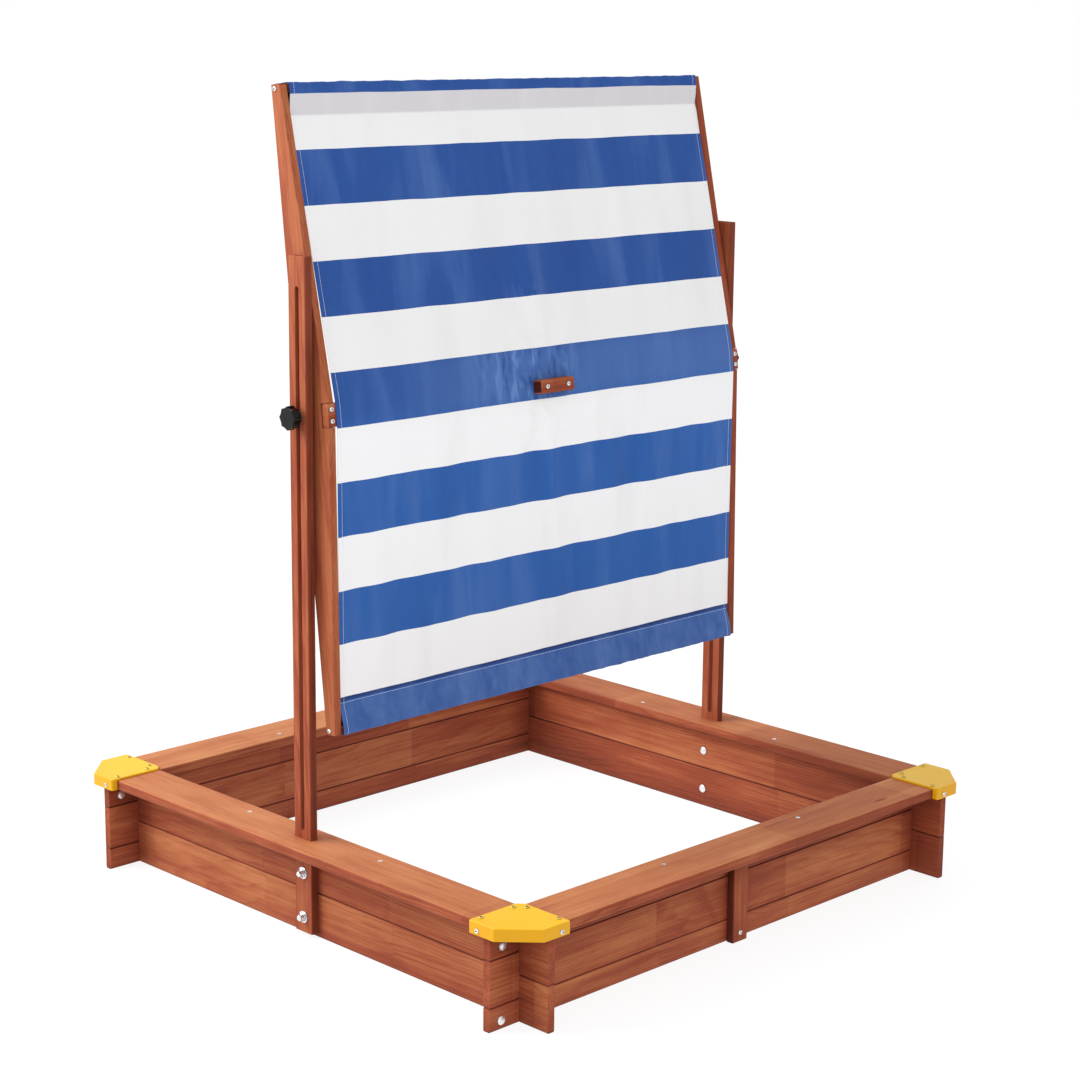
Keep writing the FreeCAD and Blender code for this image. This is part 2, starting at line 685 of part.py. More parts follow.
def sleeve():
    """Fabric round the lower end bar: a closed loop that meets the panel at its stitch line."""
    reach = FABRIC_PLAY + FABRIC_T
    bar_low, bar_high = END_BAR_V
    outline = [
        (SLEEVE_U, SLEEVE_V + FABRIC_T), (END_BAR_T, bar_high + reach), (-reach, bar_high + reach),
        (-reach, bar_low - reach), (END_BAR_T, bar_low - reach), (SLEEVE_U, SLEEVE_V - FABRIC_T),
    ]
    shorten = 3 * FABRIC_T
    pocket = [
        (SLEEVE_U - shorten, SLEEVE_V), (END_BAR_T, bar_high + FABRIC_PLAY),
        (-FABRIC_PLAY, bar_high + FABRIC_PLAY), (-FABRIC_PLAY, bar_low - FABRIC_PLAY),
        (END_BAR_T, bar_low - FABRIC_PLAY),
    ]
    loop = canopy_prism(outline, -FABRIC_HALF_W, FABRIC_HALF_W)
    wide = FABRIC_HALF_W + OUTSIDE
    return loop.cut(canopy_prism(pocket, -wide, wide))


def canopy_fabric():
    """Fabric over the ridge bar, with a sleeve at each end."""
    lower = sleeve()
    upper = lower.mirror(canopy_point(PIVOT_U, 0, 0), Z)
    half = RIDGE_BAR_W / 2 + BAR_EDGE_R
    top = FABRIC_RIDGE_V
    ends = (SLEEVE_U, GABLE_LENGTH - SLEEVE_U)
    outside = [(ends[0], SLEEVE_V + FABRIC_T), (PIVOT_U - half, top), (PIVOT_U + half, top)]
    outside += [(ends[1], SLEEVE_V + FABRIC_T)]
    inside = [(u, v - FABRIC_T) for u, v in outside[::-1]]
    panel = canopy_prism(outside + inside, -FABRIC_HALF_W, FABRIC_HALF_W)
    fabric = panel.fuse(lower).fuse(upper)
    for point in block_screw_points():
        fabric = fabric.cut(aimed(pilot_hole(BLOCK_SCREW_LENGTH), point, X))
    return fabric.removeSplitter()


def canopy_nodes():
    """Everything that tilts."""
    write("canopy_gable_back", tilted(gable()))
    write("canopy_gable_front", tilted(mirrored(gable())))
    write("ridge_bar", tilted(ridge_bar()))
    write("end_bar_lower", tilted(end_bar(0)))
    write("end_bar_upper", tilted(end_bar(GABLE_LENGTH - END_BAR_T)))
    write("ridge_block", tilted(ridge_block()))
    write("canopy_fabric", tilted(canopy_fabric()))
    ridge_screws = [aimed(pan_screw(RIDGE_SCREW_LENGTH), point, X) for point in ridge_screw_points()]
    end_screws = [aimed(pan_screw(END_SCREW_LENGTH), point, Y) for point in end_screw_points()]
    block_screws = [aimed(pan_screw(BLOCK_SCREW_LENGTH), point, X) for point in block_screw_points()]
    write("ridge_screws", *both_sides(ridge_screws))
    write("end_bar_screws", *both_sides(end_screws))
    write("ridge_block_screws", *[tilted(screw) for screw in block_screws])


def both_sides(screws):
    return [tilted(part) for screw in screws for part in (screw, mirrored(screw))]


# ---- sliding pivots and clamping knobs, drawn on the back side ----
def at_pivot(shape, y):
    """Part drawn along +Z, placed on the back pivot axis and aimed outwards."""
    return aimed(shape, Vector(0, y, PIVOT_Z), Y)


def front_and_back(shape):
    return [turned(shape, turn) for turn in (180, 0)]


def pivot_nodes():
    """Bolts and spacers that slide in the slots."""
    head_y = GABLE_INNER_Y - BODY_GAP
    head_h = head_y - FABRIC_HALF_W
    bolt = domed_bolt(PIVOT_HEAD_R, head_h, PIVOT_BOLT_R, PIVOT_BOLT_END_Y - head_y)
    bolt = aimed(bolt, Vector(0, head_y, PIVOT_Z), -Y)
    bore_r = PIVOT_BOLT_R + PILOT_PLAY
    spacer_t = WALL_OUTER - GABLE_OUTER_Y - 2 * BODY_GAP
    spacer = at_pivot(washer(SPACER_R, bore_r, spacer_t), GABLE_OUTER_Y + BODY_GAP)
    ring = at_pivot(washer(CLAMP_WASHER_R, bore_r, CLAMP_WASHER_T), POST_OUTER + BODY_GAP)
    for side, part in zip(("front", "back"), front_and_back(bolt)):
        write("pivot_bolt_" + side, part)
    write("pivot_spacers", *front_and_back(spacer))
    write("clamp_washers", *front_and_back(ring))


def knob():
    """Lobed hand knob with a blind hole for its threaded insert."""
    back_y = POST_OUTER + 2 * BODY_GAP + CLAMP_WASHER_T
    hub_h = KNOB_GRIP_Y - back_y
    grip_h = KNOB_FRONT_Y - KNOB_GRIP_Y
    hub = Part.makeCylinder(KNOB_HUB_R, hub_h)
    grip = Part.makeCylinder(KNOB_R, grip_h, Vector(0, 0, hub_h))
    for lobe in range(KNOB_LOBES):
        angle = 2 * math.pi * (lobe + 0.5) / KNOB_LOBES
        centre = Vector(math.cos(angle), math.sin(angle), 0) * KNOB_SCALLOP_AT
        centre.z = hub_h - OUTSIDE
        grip = grip.cut(Part.makeCylinder(KNOB_SCALLOP_R, grip_h + 2 * OUTSIDE, centre))
    front = hub_h + grip_h
    rims = [edge for edge in grip.Edges if edge.BoundBox.ZLength < 1e-3]
    grip = grip.makeFillet(KNOB_RIM_R, rims)
    body = hub.fuse(grip)
    hole = Part.makeCylinder(INSERT_R + PILOT_PLAY, INSERT_LENGTH + OUTSIDE, Vector(0, 0, -OUTSIDE))
    tip = Part.makeCylinder(PIVOT_BOLT_R + RUNNING_PLAY, front - KNOB_FRONT_T)
    return body.cut(hole).cut(tip)


def knob_nodes():
    """Hand knobs and the threaded inserts inside them."""
    back_y = POST_OUTER + 2 * BODY_GAP + CLAMP_WASHER_T
    insert = at_pivot(washer(INSERT_R, PIVOT_BOLT_R + RUNNING_PLAY, INSERT_LENGTH), back_y)
    grip = at_pivot(knob(), back_y)
    for side, part in zip(("front", "back"), front_and_back(grip)):
        write("knob_" + side, part)
    for side, part in zip(("front", "back"), front_and_back(insert)):
        write("knob_insert_" + side, part)


os.makedirs("parts", exist_ok=True)
box_nodes()
box_fasteners()
canopy_nodes()
pivot_nodes()
knob_nodes()
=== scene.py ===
"""Looks of the sandbox with cover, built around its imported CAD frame. Metres, front is -Y, up is +Z."""
import json
import math

import bpy
from mathutils import Matrix, Vector, noise


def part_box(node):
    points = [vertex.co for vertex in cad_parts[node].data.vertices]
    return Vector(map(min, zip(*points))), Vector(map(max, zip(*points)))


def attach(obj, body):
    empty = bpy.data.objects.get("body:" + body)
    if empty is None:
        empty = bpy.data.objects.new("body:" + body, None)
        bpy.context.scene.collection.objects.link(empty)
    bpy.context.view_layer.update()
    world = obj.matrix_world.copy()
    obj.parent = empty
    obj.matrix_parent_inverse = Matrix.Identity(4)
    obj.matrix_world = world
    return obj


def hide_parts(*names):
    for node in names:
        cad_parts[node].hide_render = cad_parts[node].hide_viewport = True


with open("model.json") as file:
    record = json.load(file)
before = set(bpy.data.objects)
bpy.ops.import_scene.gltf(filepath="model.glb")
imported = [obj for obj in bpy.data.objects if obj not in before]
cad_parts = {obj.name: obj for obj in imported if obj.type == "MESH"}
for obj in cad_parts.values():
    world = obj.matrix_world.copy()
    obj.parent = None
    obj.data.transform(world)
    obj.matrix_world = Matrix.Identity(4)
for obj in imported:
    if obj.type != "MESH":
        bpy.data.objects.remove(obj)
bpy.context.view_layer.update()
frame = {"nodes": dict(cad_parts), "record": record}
nodes = frame["nodes"]

MM = 0.001

# ---- camera ----
CAMERA_AT = (3.1322, -3.0782, 1.5899)
CAMERA_AZIMUTH = 45.19
CAMERA_ELEVATION = 12.31
CAMERA_ROLL = 0.57
CAMERA_LENS = 80.97
CAMERA_SENSOR = 36.0
CAMERA_CLIP = (0.05, 100.0)

# ---- canopy, in millimetres: u along the gables from their lower ends, v out from their inner edge ----
# At rest the canopy leans by as much as it can still turn to stand upright.
TILT_JOINT = next(j for j in frame["record"]["behaviour"]["joints"] if j["name"] == "canopy_tilt")
TILT = math.radians(TILT_JOINT["range_deg"][1])
PIVOT_Z = round(TILT_JOINT["pos_m"][2] / MM, 2)


def canopy_extent(name):
    """Lowest and highest (u, y, v) of a CAD node, measured from the pivot."""
    points = []
    for vertex in nodes[name].data.vertices:
        x, y, z = vertex.co / MM
        z -= PIVOT_Z
        u = z * math.cos(TILT) - x * math.sin(TILT)
        v = x * math.cos(TILT) + z * math.sin(TILT)
        points.append((u, y, v))
    return [[round(pick(values), 2) for values in zip(*points)] for pick in (min, max)]


gable_low, gable_high = canopy_extent("canopy_gable_front")
bar_low, bar_high = canopy_extent("end_bar_lower")
ridge_high = canopy_extent("ridge_bar")[1]
fabric_high = canopy_extent("canopy_fabric")[1]

PIVOT_U, PIVOT_V = -gable_low[0], -gable_low[2]
GABLE_LENGTH = gable_high[0] - gable_low[0]
END_BAR_T = bar_high[0] + PIVOT_U
END_BAR_V = (bar_low[2] + PIVOT_V, bar_high[2] + PIVOT_V)
RIDGE_HALF = ridge_high[0]
RIDGE_TOP_V = ridge_high[2] + PIVOT_V
FABRIC_HALF_W = fabric_high[1]
FABRIC_GAP = 0.75
FABRIC_T = 0.9
SEAM_U = 53.0
SEAM_V = 22.0
STRIPE_START = 63.6
STRIPE_PITCH = 92.65
HEM_W = 10.0
STITCH_IN = 9.0


def linear(r, g, b):
    """Scene-linear colour of an 8-bit sRGB one."""
    def one(c):
        c /= 255
        return c / 12.92 if c <= 0.04045 else ((c + 0.055) / 1.055) ** 2.4
    return (one(r), one(g), one(b), 1.0)


def grey(value):
    return (value, value, value, 1.0)


# ---- node helpers ----
SHADER_INPUTS = {
    "base_color": "Base Color", "roughness": "Roughness", "metallic": "Metallic", "normal": "Normal",
    "specular": "Specular IOR Level", "sheen": "Sheen Weight", "sheen_roughness": "Sheen Roughness",
    "emission": "Emission Color", "emission_strength": "Emission Strength",
}


class Tree:
    """A new material whose nodes are written as expressions."""

    def __init__(self, name):
        self.material = bpy.data.materials.new(name)
        self.material.use_nodes = True
        self.nodes = self.material.node_tree.nodes
        self.links = self.material.node_tree.links
        self.nodes.clear()
        self.shader = self.nodes.new("ShaderNodeBsdfPrincipled")
        output = self.nodes.new("ShaderNodeOutputMaterial")
        self.links.new(self.shader.outputs[0], output.inputs["Surface"])

    def put(self, socket, value):
        if isinstance(value, bpy.types.NodeSocket):
            self.links.new(value, socket)
        elif value is not None:
            socket.default_value = value

    def set(self, **values):
        """Sets the shader's own sockets, such as base_color or roughness."""
        for key, value in values.items():
            self.put(self.shader.inputs[SHADER_INPUTS[key]], value)

    def coords(self, kind="Object"):
        return self.nodes.new("ShaderNodeTexCoord").outputs[kind]

    def uv(self, name):
        node = self.nodes.new("ShaderNodeUVMap")
        node.uv_map = name
        return node.outputs[0]

    def mapping(self, vector, location=(0, 0, 0), rotation=(0, 0, 0), scale=(1, 1, 1)):
        node = self.nodes.new("ShaderNodeMapping")
        self.put(node.inputs["Vector"], vector)
        node.inputs["Location"].default_value = location
        node.inputs["Rotation"].default_value = rotation
        node.inputs["Scale"].default_value = scale
        return node.outputs[0]

    def noise(self, vector, scale, detail, rough, distortion=0.0):
        node = self.nodes.new("ShaderNodeTexNoise")
        self.put(node.inputs["Vector"], vector)
        node.inputs["Scale"].default_value = scale
        node.inputs["Detail"].default_value = detail
        node.inputs["Roughness"].default_value = rough
        node.inputs["Distortion"].default_value = distortion
        return node.outputs["Fac"]

    def streaks(self, vector, scale, detail, rough, distortion=0.0, rotation=(0, 0, 0)):
        """Noise with its own scale along each axis."""
        vector = self.mapping(vector, rotation=rotation, scale=scale)
        return self.noise(vector, 1.0, detail, rough, distortion)

    def cells(self, vector, scale):
        """Distance to the nearest of scattered points, with its own scale along each axis."""
        node = self.nodes.new("ShaderNodeTexVoronoi")
        self.put(node.inputs["Vector"], self.mapping(vector, scale=scale))
        node.inputs["Scale"].default_value = 1.0
        return node.outputs["Distance"]

    def white(self, value):
        """A random colour for each value."""
        node = self.nodes.new("ShaderNodeTexWhiteNoise")
        node.noise_dimensions = "1D"
        self.put(node.inputs["W"], value)
        return node.outputs["Color"]

    def openness(self, distance, samples):
        """1 in the open, less where other surfaces are near."""
        node = self.nodes.new("ShaderNodeAmbientOcclusion")
        node.samples = samples
        node.inputs["Distance"].default_value = distance
        return node.outputs["AO"]

    def math(self, operation, a, b=None, c=None):
        node = self.nodes.new("ShaderNodeMath")
        node.operation = operation
        for socket, value in zip(node.inputs, (a, b, c)):
            self.put(socket, value)
        return node.outputs[0]

    def add(self, layer, weight, base, middle=0.0):
        """base + weight * (layer - middle)"""
        if middle:
            layer = self.math("SUBTRACT", layer, middle)
        return self.math("MULTIPLY_ADD", layer, weight, base)

    def measure(self, operation, a, b=None):
        """A vector operation that gives a number."""
        node = self.nodes.new("ShaderNodeVectorMath")
        node.operation = operation
        self.put(node.inputs[0], a)
        self.put(node.inputs[1], b)
        return node.outputs["Value"]

    def split(self, vector):
        node = self.nodes.new("ShaderNodeSeparateXYZ")
        self.put(node.inputs[0], vector)
        return node.outputs[0], node.outputs[1], node.outputs[2]

    def join(self, x, y, z):
        node = self.nodes.new("ShaderNodeCombineXYZ")
        for socket, value in zip(node.inputs, (x, y, z)):
            self.put(socket, value)
        return node.outputs[0]

    def ramp(self, value, stops, mode="LINEAR"):
        node = self.nodes.new("ShaderNodeValToRGB")
        self.put(node.inputs[0], value)
        node.color_ramp.interpolation = mode
        elements = node.color_ramp.elements
        elements[0].position, elements[1].position = stops[0][0], stops[-1][0]
        elements[0].color, elements[1].color = stops[0][1], stops[-1][1]
        for position, colour in stops[1:-1]:
            elements.new(position).color = colour
        return node.outputs[0]

    def range(self, value, from_low, from_high, to_low=0.0, to_high=1.0, smooth=False):
        node = self.nodes.new("ShaderNodeMapRange")
        node.interpolation_type = "SMOOTHSTEP" if smooth else "LINEAR"
        for socket, number in zip(node.inputs, (value, from_low, from_high, to_low, to_high)):
            self.put(socket, number)
        return node.outputs[0]

    def mix(self, factor, a, b):
        node = self.nodes.new("ShaderNodeMix")
        node.data_type = "RGBA"
        self.put(node.inputs[0], factor)
        self.put(node.inputs[6], a)
        self.put(node.inputs[7], b)
        return node.outputs[2]

    def bump(self, height, strength, distance):
        node = self.nodes.new("ShaderNodeBump")
        node.inputs["Strength"].default_value = strength
        node.inputs["Distance"].default_value = distance
        self.put(node.inputs["Height"], height)
        return node.outputs[0]


# ---- wood ----
WOOD_DARK = linear(78, 30, 19)
WOOD_MID = linear(144, 68, 43)
WOOD_LIGHT = linear(178, 108, 68)
WOOD_PALE = linear(204, 142, 94)
WOOD_STOPS = [(0.0, WOOD_DARK), (0.45, WOOD_MID), (0.72, WOOD_LIGHT), (1.0, WOOD_PALE)]
WOOD_BASE = 0.53
GRAIN_TURN = {"x": (0, 0, 0), "y": (0, 0, -math.pi / 2), "z": (0, math.pi / 2, 0),
              "u": (0, math.pi / 2 + TILT, 0)}

STAVE = 0.34
FINGER = 0.0035
FINGER_SLANT = 0.8
JOINT_LINE = (0.4975, 0.4995)

LOG_LEAN = 0.03
LOG_ACROSS = 0.04
LOG_DEPTH = (0.02, 0.12)
RINGS_PER_METRE = 330.0
RING_WANDER = 0.014
RING_STOPS = [(0.0, grey(0.0)), (0.5, grey(0.3)), (0.8, grey(1.0)), (1.0, grey(0.0))]

# Scale along and across the grain, detail, roughness, and how much the layer lightens the wood.
GRAIN_LAYERS = {
    "fibre": ((9, 420, 420), 4.0, 0.6, 0.38),
    "streak": ((2.6, 120, 120), 4.0, 0.55, 0.30),
    "band": ((1.2, 34, 34), 2.0, 0.5, 0.16),
    "cloud": ((5, 18, 18), 4.0, 0.6, 0.48),
}
LATE_WOOD_TONE = -0.13
STAVE_TONE = 0.13
PORE_TONE = -0.10
JOINT_TONE = -0.09
KNOT_TONE = -0.30
END_TONE = -0.12
# The arris and nook tones below are painted shade.
ARRIS_SHADE_TONE = -0.27
NOOK_SHADE_TONE = -0.26

# Width and raggedness of the painted arris shade, then reach and samples of the painted nook shade.
ARRIS_SHADE_W = 0.0016
ARRIS_SHADE_RAGGED = 0.0022
NOOK_SHADE_REACH = 0.07
NOOK_SHADE_SAMPLES = 6


def wood(name, axis, seed, tone, size, seam_axis, end_tone, jointed):
    """Stained softwood. Its grain runs along axis, and painted shade darkens its arrises across
    seam_axis.
    """
    t = Tree(name)
    offset = (seed * 1.37 + 0.11, (seed * 0.73) % 1.0, (seed * 0.47) % 1.0)
    p = t.mapping(t.coords(), location=offset, rotation=GRAIN_TURN[axis])
    local = t.mapping(t.coords(), rotation=GRAIN_TURN[axis])
    along = t.split(p)[0]
    _, across, depth = t.split(local)

    # Staves are finger-jointed end to end, each cut from another place of the log.
    stave_number, joint_line = 0.0, 0.0
    if jointed:
        fingers = t.math("PINGPONG", t.math("ADD", across, depth), FINGER)
        slanted = t.math("ADD", along, t.math("MULTIPLY", fingers, FINGER_SLANT))
        stave_at = t.math("DIVIDE", slanted, STAVE)
        stave_number = t.math("FLOOR", stave_at)
        joint = t.math("ABSOLUTE", t.math("SUBTRACT", t.math("FRACT", stave_at), 0.5))
        joint_line = t.range(joint, *JOINT_LINE)
    pick_x, pick_y, pick_z = t.split(t.white(t.math("ADD", stave_number, seed * 3.0)))

    # Growth rings round a log axis that leans a little, so that flat faces show flames.
    wander = t.streaks(p, (3.0, 12, 12), 3.0, 0.55)
    lean_y = t.math("MULTIPLY", along, t.range(pick_x, 0, 1, -LOG_LEAN, LOG_LEAN))
    lean_z = t.math("MULTIPLY", along, t.range(pick_z, 0, 1, -LOG_LEAN, LOG_LEAN))
    ring_y = t.math("ADD", t.math("ADD", across, lean_y), t.range(pick_y, 0, 1, -LOG_ACROSS, LOG_ACROSS))
    ring_z = t.math("ADD", t.math("ADD", depth, lean_z), t.range(pick_z, 0, 1, *LOG_DEPTH))
    radius = t.measure("LENGTH", t.join(0.0, ring_y, ring_z))
    radius = t.math("ADD", radius, t.math("MULTIPLY", wander, RING_WANDER))
    rings = t.math("FRACT", t.math("MULTIPLY", radius, RINGS_PER_METRE))
    ring_mask = t.range(t.streaks(p, (2.0, 16, 16), 2.0, 0.5), 0.40, 0.62, 0.25, 1.0)
    late_wood = t.math("MULTIPLY", t.ramp(rings, RING_STOPS, "EASE"), ring_mask)

    layers = {key: t.streaks(p, *values[:3]) for key, values in GRAIN_LAYERS.items()}
    fibre = layers["fibre"]
    pore = t.range(t.cells(p, (40, 700, 700)), 0.08, 0.22, 1.0, 0.0)
    knot = t.range(t.cells(p, (2.2, 9, 9)), 0.02, 0.055, 1.0, 0.0, smooth=True)

    # Painted shade darkens the long arrises, as shade in the seams between boards; stain soaks deeper
    # into end grain.
    place = t.split(t.coords("Generated"))["xyz".index(seam_axis)]
    place = t.math("SUBTRACT", 0.5, t.math("ABSOLUTE", t.math("SUBTRACT", place, 0.5)))
    ragged = t.math("MULTIPLY", t.math("SUBTRACT", layers["streak"], 0.5), ARRIS_SHADE_RAGGED)
    from_edge = t.math("MULTIPLY_ADD", place, size["xyz".index(seam_axis)], ragged)
    arris_shade = t.range(from_edge, ARRIS_SHADE_W * 0.45, ARRIS_SHADE_W * 1.7, 1.0, 0.0, smooth=True)
    facing = t.split(t.mapping(t.coords("Normal"), rotation=GRAIN_TURN[axis]))[0]
    end = t.range(t.math("ABSOLUTE", facing), 0.85, 0.98)

    shade = t.add(late_wood, LATE_WOOD_TONE, WOOD_BASE + tone)
    if jointed:
        # Painted shade darkens the wood near other surfaces, where fixed boards meet, but not on the
        # rails that slide past each other.
        nook_shade = t.range(t.openness(NOOK_SHADE_REACH, NOOK_SHADE_SAMPLES), 0.3, 0.95, NOOK_SHADE_TONE, 0.0)
        shade = t.math("ADD", nook_shade, shade)
    for key, values in GRAIN_LAYERS.items():
        shade = t.add(layers[key], values[3], shade, middle=0.5)
    shade = t.add(pick_y, STAVE_TONE, shade, middle=0.5)
    marks = [(pore, PORE_TONE), (joint_line, JOINT_TONE), (knot, KNOT_TONE), (end, end_tone),
             (arris_shade, ARRIS_SHADE_TONE)]
    for mark, weight in marks:
        shade = t.add(mark, weight, shade)

    height = t.add(fibre, 0.5, t.math("MULTIPLY", late_wood, 0.2))
    height = t.add(joint_line, -0.5, t.add(pore, -0.5, height))
    t.set(base_color=t.ramp(shade, WOOD_STOPS), roughness=t.range(fibre, 0.2, 0.8, 0.58, 0.72),
          specular=0.16, normal=t.bump(height, 0.35, 0.3 * MM))
    return t.material


# ---- other materials ----
# Reach and samples of the painted crevice shade on metal.
CREVICE_SHADE_REACH = 0.0024
CREVICE_SHADE_SAMPLES = 8


def yellow_plastic():
    t = Tree("yellow_plastic")
    p = t.coords()
    grain = t.noise(p, 900.0, 3.0, 0.6)
    cloud = t.range(t.noise(p, 9.0, 3.0, 0.5), 0.35, 0.7)
    scuff = t.streaks(p, (60, 9, 60), 5.0, 0.7, rotation=(0.3, 0.2, 0.5))
    # Painted light and shade: the upper side is painted a paler, lit yellow and the skirt a deeper,
    # shaded yellow.
    painted_top_light = t.range(t.split(t.coords("Normal"))[2], 0.5, 0.95)
    upper = t.mix(cloud, linear(224, 171, 0), linear(230, 180, 6))
    shaded_skirt_yellow = t.mix(cloud, linear(217, 155, 0), linear(222, 162, 0))
    colour = t.mix(painted_top_light, shaded_skirt_yellow, upper)
    colour = t.mix(t.range(scuff, 0.62, 0.8, 0.0, 0.12), colour, linear(240, 196, 60))
    t.set(base_color=colour, roughness=t.range(scuff, 0.3, 0.7, 0.36, 0.48), specular=0.3,
          normal=t.bump(grain, 0.12, 0.2 * MM))
    return t.material


def knob_plastic():
    t = Tree("knob_plastic")
    p = t.coords()
    grain = t.noise(p, 1400.0, 3.0, 0.6)
    wear = t.noise(p, 70.0, 4.0, 0.6)
    t.set(base_color=t.mix(t.range(wear, 0.45, 0.7), linear(7, 7, 10), linear(14, 14, 18)),
          roughness=t.range(wear, 0.3, 0.7, 0.14, 0.26), specular=0.24,
          normal=t.bump(grain, 0.15, 0.2 * MM))
    return t.material


def metal(name, colour, dull, roughness=(0.16, 0.30)):
    """Plated or brass metal, with painted shade in its narrow crevices."""
    t = Tree(name)
    p = t.coords()
    mottle = t.noise(p, 260.0, 4.0, 0.6)
    scratch = t.streaks(p, (3000, 90, 300), 3.0, 0.6, rotation=(0.4, 0.9, 0.2))
    # Painted shade: narrow crevices and the rims where heads meet the wood are painted dark and less
    # metallic.
    crevice_unshaded = t.range(t.openness(CREVICE_SHADE_REACH, CREVICE_SHADE_SAMPLES), 0.35, 0.8)
    plated = t.mix(t.range(mottle, 0.35, 0.7), colour, dull)
    t.set(base_color=t.mix(crevice_unshaded, linear(52, 42, 38), plated),
          metallic=t.range(crevice_unshaded, 0, 1, 0.6, 1.0), roughness=t.range(mottle, 0.3, 0.7, *roughness),
          normal=t.bump(scratch, 0.12, 0.1 * MM))
    return t.material


def nylon():
    t = Tree("spacer_nylon")
    p = t.coords()
    grain = t.noise(p, 800.0, 3.0, 0.6)
    cloud = t.noise(p, 40.0, 3.0, 0.5)
    t.set(base_color=t.mix(t.range(cloud, 0.3, 0.7), linear(30, 30, 32), linear(48, 48, 50)),
          roughness=t.range(cloud, 0.3, 0.7, 0.4, 0.55), normal=t.bump(grain, 0.1, 0.2 * MM))
    return t.material


def thread():
    t = Tree("sewing_thread")
    p = t.coords()
    twist = t.streaks(p, (900, 900, 900), 2.0, 0.5)
    t.set(base_color=t.mix(twist, linear(240, 241, 245), linear(252, 252, 254)), roughness=0.6,
          sheen=0.1, sheen_roughness=0.4, normal=t.bump(twist, 0.3, 0.2 * MM))
    return t.material


# ---- canvas: places along and across the cloth in metres ----
YARN_PITCH = 0.0012
LOWER_HALF_ENDS = (0.50, 0.56)
LOWER_SLEEVE_ENDS = (0.050, 0.056)
SEAM_SHADE = (0.056, 0.058, 0.064, 0.068)
UPPER_SLEEVE_STARTS = (1.044, 1.050)
RIDGE_LIGHT_AT = 0.575
RIDGE_LIGHT_REACH = (0.02, 0.09)
RIDGE_LIGHT_SIDE = (-0.45, -0.15)
CREASES_AT = (-0.05, 0.60, 0.0)
CREASES_REACH = (0.03, 0.17)


